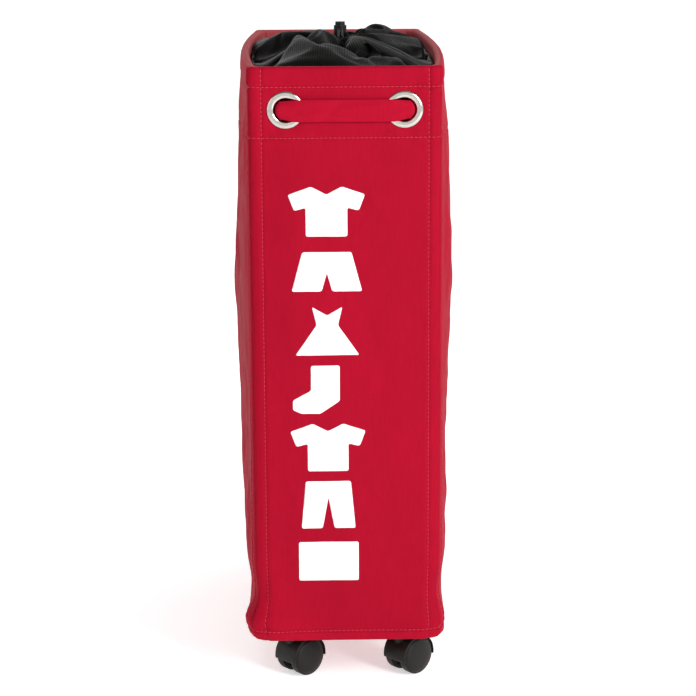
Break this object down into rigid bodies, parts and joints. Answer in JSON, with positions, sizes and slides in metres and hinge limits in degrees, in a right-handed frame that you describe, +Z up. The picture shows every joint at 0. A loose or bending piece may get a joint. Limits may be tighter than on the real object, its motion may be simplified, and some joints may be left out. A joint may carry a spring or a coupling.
{
  "type": "laundry bin on casters",
  "caption": "Tall slim fabric laundry bin on twin-wheel swivel casters, with a gathered mesh cover and a strap handle through eyelets at each end.",
  "frame": {"origin": "on the floor, under the middle of the bag", "axes": "+Z up, -Y towards the printed narrow front, X across the width"},
  "size_m": [0.2192, 0.4104, 0.6283],
  "materials": {
    "red_fabric": "coated woven polyester, satin",
    "lining": "uncoated inner face of the red fabric, matt",
    "mesh_fabric": "black knitted mesh",
    "cord": "black braided cord",
    "board": "bare fibre board",
    "stiffener": "extruded sheet",
    "steel": "zinc-plated steel",
    "nickel": "polished nickel plate",
    "fitting_plastic": "moulded, fine texture",
    "lock_plastic": "moulded, smooth",
    "print": "opaque screen-printed ink",
    "caster_plastic": "moulded, satin"
  },
  "bodies": {
    "bag": {"base_cover": "red_fabric", "base_binding": "red_fabric", "front_wall": "red_fabric", "back_wall": "red_fabric", "left_wall": "red_fabric", "right_wall": "red_fabric", "rim_facing": "red_fabric", "front_left_sleeve": "red_fabric", "front_right_sleeve": "red_fabric", "back_left_sleeve": "red_fabric", "back_right_sleeve": "red_fabric", "front_lining": "lining", "back_lining": "lining", "mesh_cover": "mesh_fabric", "gather_casing": "mesh_fabric", "drawstring": "cord", "base_board": "board", "front_stiffener": "stiffener", "back_stiffener": "stiffener", "rim_frame": "steel", "cord_lock_spring": "steel", "socket_screws": "steel", "front_left_stay": "steel", "front_left_stem": "steel", "front_right_stay": "steel", "front_right_stem": "steel", "back_left_stay": "steel", "back_left_stem": "steel", "back_right_stay": "steel", "back_right_stem": "steel", "eyelet_washers": "nickel", "front_left_eyelet": "nickel", "front_right_eyelet": "nickel", "back_left_eyelet": "nickel", "back_right_eyelet": "nickel", "rim_clips": "fitting_plastic", "stay_sockets": "fitting_plastic", "caster_sockets": "fitting_plastic", "cord_lock_barrel": "lock_plastic", "front_print": "print"},
    "front_left_caster": {"front_left_hood": "caster_plastic", "front_left_axle": "steel"},
    "front_left_wheel_a": {"front_left_wheel_a": "caster_plastic"},
    "front_left_wheel_b": {"front_left_wheel_b": "caster_plastic"},
    "front_right_caster": {"front_right_hood": "caster_plastic", "front_right_axle": "steel"},
    "front_right_wheel_a": {"front_right_wheel_a": "caster_plastic"},
    "front_right_wheel_b": {"front_right_wheel_b": "caster_plastic"},
    "back_left_caster": {"back_left_hood": "caster_plastic", "back_left_axle": "steel"},
    "back_left_wheel_a": {"back_left_wheel_a": "caster_plastic"},
    "back_left_wheel_b": {"back_left_wheel_b": "caster_plastic"},
    "back_right_caster": {"back_right_hood": "caster_plastic", "back_right_axle": "steel"},
    "back_right_wheel_a": {"back_right_wheel_a": "caster_plastic"},
    "back_right_wheel_b": {"back_right_wheel_b": "caster_plastic"},
    "lock_button": {"cord_lock_button": "lock_plastic"},
    "front_strap": {"front_handle": "red_fabric"},
    "back_strap": {"back_handle": "red_fabric"}
  },
  "joints": [
    {"name": "front_left_swivel", "type": "hinge", "parent": "bag", "child": "front_left_caster", "pos_m": [-0.054, -0.165, 0.042], "axis": [0, 0, 1], "continuous": true},
    {"name": "front_left_roll_a", "type": "hinge", "parent": "front_left_caster", "child": "front_left_wheel_a", "pos_m": [-0.04657, -0.15831, 0.019], "axis": [0.6691, -0.7431, 0], "continuous": true},
    {"name": "front_left_roll_b", "type": "hinge", "parent": "front_left_caster", "child": "front_left_wheel_b", "pos_m": [-0.04657, -0.15831, 0.019], "axis": [0.6691, -0.7431, 0], "continuous": true},
    {"name": "front_right_swivel", "type": "hinge", "parent": "bag", "child": "front_right_caster", "pos_m": [0.054, -0.165, 0.042], "axis": [0, 0, 1], "continuous": true},
    {"name": "front_right_roll_a", "type": "hinge", "parent": "front_right_caster", "child": "front_right_wheel_a", "pos_m": [0.06143, -0.15831, 0.019], "axis": [0.6691, -0.7431, 0], "continuous": true},
    {"name": "front_right_roll_b", "type": "hinge", "parent": "front_right_caster", "child": "front_right_wheel_b", "pos_m": [0.06143, -0.15831, 0.019], "axis": [0.6691, -0.7431, 0], "continuous": true},
    {"name": "back_left_swivel", "type": "hinge", "parent": "bag", "child": "back_left_caster", "pos_m": [-0.054, 0.165, 0.042], "axis": [0, 0, 1], "continuous": true},
    {"name": "back_left_roll_a", "type": "hinge", "parent": "back_left_caster", "child": "back_left_wheel_a", "pos_m": [-0.04657, 0.17169, 0.019], "axis": [0.6691, -0.7431, 0], "continuous": true},
    {"name": "back_left_roll_b", "type": "hinge", "parent": "back_left_caster", "child": "back_left_wheel_b", "pos_m": [-0.04657, 0.17169, 0.019], "axis": [0.6691, -0.7431, 0], "continuous": true},
    {"name": "back_right_swivel", "type": "hinge", "parent": "bag", "child": "back_right_caster", "pos_m": [0.054, 0.165, 0.042], "axis": [0, 0, 1], "continuous": true},
    {"name": "back_right_roll_a", "type": "hinge", "parent": "back_right_caster", "child": "back_right_wheel_a", "pos_m": [0.06143, 0.17169, 0.019], "axis": [0.6691, -0.7431, 0], "continuous": true},
    {"name": "back_right_roll_b", "type": "hinge", "parent": "back_right_caster", "child": "back_right_wheel_b", "pos_m": [0.06143, 0.17169, 0.019], "axis": [0.6691, -0.7431, 0], "continuous": true},
    {"name": "lock_press", "type": "slide", "parent": "bag", "child": "lock_button", "axis": [0, 0, -1], "range_m": [0, 0.003], "stiffness_N_per_m": 500, "springref_m": -0.004, "deforming": ["cord_lock_spring"]},
    {"name": "front_handle_pull", "type": "slide", "parent": "bag", "child": "front_strap", "axis": [0, -1, 0], "range_m": [0, 0.022]},
    {"name": "back_handle_pull", "type": "slide", "parent": "bag", "child": "back_strap", "axis": [0, 1, 0], "range_m": [0, 0.022]}
  ]
}
